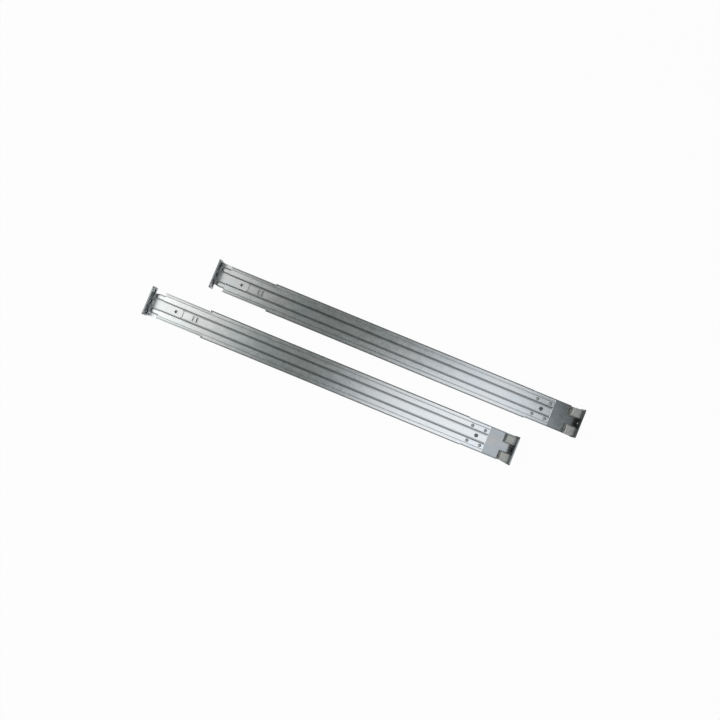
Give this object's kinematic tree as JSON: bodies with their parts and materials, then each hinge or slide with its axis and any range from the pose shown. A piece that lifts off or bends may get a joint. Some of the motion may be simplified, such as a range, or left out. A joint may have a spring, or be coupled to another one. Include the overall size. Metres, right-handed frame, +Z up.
{
  "type": "sliding server rail pair",
  "caption": "Pair of full-extension ball-bearing server rack slides with flanged front brackets and depth-adjustable rear brackets, lying side by side.",
  "frame": {"origin": "centre of the pair's footprint, on the surface that the rails lie on", "axes": "+X along the rails from rear flange to front flange, +Y from the left rail to the right rail, +Z up, out of the cabinet-side faces"},
  "size_m": [0.649, 0.117, 0.034],
  "materials": {
    "carrier_zinc": "zinc-plated, satin",
    "slide_zinc": "zinc-plated, satin",
    "bracket_zinc": "bright zinc",
    "block_zinc": "die-cast zinc, matt",
    "rivet_steel": "zinc-plated",
    "screw_steel": "black oxide",
    "ball_steel": "polished",
    "cage_steel": "stamped, zinc-plated",
    "spring_steel": "bare spring steel",
    "lever_steel": "zinc-plated",
    "bumper_plastic": "moulded"
  },
  "bodies": {
    "root": {"left_carrier": "carrier_zinc", "left_outer_member": "slide_zinc", "left_front_bracket": "bracket_zinc", "left_nut_blocks": "block_zinc", "left_front_rivets": "rivet_steel", "left_carrier_screw": "screw_steel", "left_rear_bumper": "bumper_plastic", "right_carrier": "carrier_zinc", "right_outer_member": "slide_zinc", "right_front_bracket": "bracket_zinc", "right_nut_blocks": "block_zinc", "right_front_rivets": "rivet_steel", "right_carrier_screw": "screw_steel", "right_rear_bumper": "bumper_plastic"},
    "left_middle": {"left_middle_member": "slide_zinc"},
    "left_inner": {"left_inner_member": "slide_zinc", "left_lever_pin": "rivet_steel", "left_lever_spring": "spring_steel", "left_spring_rivet": "rivet_steel"},
    "left_lever": {"left_release_lever": "lever_steel"},
    "left_outer_cage": {"left_outer_cage": "cage_steel", "left_outer_balls": "ball_steel"},
    "left_inner_cage": {"left_inner_cage": "cage_steel", "left_inner_balls": "ball_steel"},
    "left_rear_bracket": {"left_rear_bracket": "bracket_zinc"},
    "right_middle": {"right_middle_member": "slide_zinc"},
    "right_inner": {"right_inner_member": "slide_zinc", "right_lever_pin": "rivet_steel", "right_lever_spring": "spring_steel", "right_spring_rivet": "rivet_steel"},
    "right_lever": {"right_release_lever": "lever_steel"},
    "right_outer_cage": {"right_outer_cage": "cage_steel", "right_outer_balls": "ball_steel"},
    "right_inner_cage": {"right_inner_cage": "cage_steel", "right_inner_balls": "ball_steel"},
    "right_rear_bracket": {"right_rear_bracket": "bracket_zinc"}
  },
  "joints": [
    {"name": "left_middle_slide", "type": "slide", "parent": "root", "child": "left_middle", "axis": [1, 0, 0], "range_m": [0, 0.27]},
    {"name": "left_inner_slide", "type": "slide", "parent": "left_middle", "child": "left_inner", "axis": [1, 0, 0], "range_m": [0, 0.27]},
    {"name": "left_outer_cage_slide", "type": "slide", "parent": "root", "child": "left_outer_cage", "axis": [1, 0, 0], "range_m": [0, 0.135]},
    {"name": "left_inner_cage_slide", "type": "slide", "parent": "left_middle", "child": "left_inner_cage", "axis": [1, 0, 0], "range_m": [0, 0.135]},
    {"name": "left_rear_bracket_slide", "type": "slide", "parent": "root", "child": "left_rear_bracket", "axis": [-1, 0, 0], "range_m": [0, 0.25]},
    {"name": "left_lever_hinge", "type": "hinge", "parent": "left_inner", "child": "left_lever", "pos_m": [-0.1243, -0.0365, 0.004], "axis": [0, -1, 0], "range_deg": [0, 5]},
    {"name": "right_middle_slide", "type": "slide", "parent": "root", "child": "right_middle", "axis": [1, 0, 0], "range_m": [0, 0.27]},
    {"name": "right_inner_slide", "type": "slide", "parent": "right_middle", "child": "right_inner", "axis": [1, 0, 0], "range_m": [0, 0.27]},
    {"name": "right_outer_cage_slide", "type": "slide", "parent": "root", "child": "right_outer_cage", "axis": [1, 0, 0], "range_m": [0, 0.135]},
    {"name": "right_inner_cage_slide", "type": "slide", "parent": "right_middle", "child": "right_inner_cage", "axis": [1, 0, 0], "range_m": [0, 0.135]},
    {"name": "right_rear_bracket_slide", "type": "slide", "parent": "root", "child": "right_rear_bracket", "axis": [-1, 0, 0], "range_m": [0, 0.25]},
    {"name": "right_lever_hinge", "type": "hinge", "parent": "right_inner", "child": "right_lever", "pos_m": [-0.0503, 0.0365, 0.004], "axis": [0, -1, 0], "range_deg": [0, 5]}
  ],
  "couplings": [
    {"joint": "left_outer_cage_slide", "follows": "left_middle_slide", "ratio": 0.5},
    {"joint": "left_inner_cage_slide", "follows": "left_inner_slide", "ratio": 0.5},
    {"joint": "right_outer_cage_slide", "follows": "right_middle_slide", "ratio": 0.5},
    {"joint": "right_inner_cage_slide", "follows": "right_inner_slide", "ratio": 0.5}
  ]
}
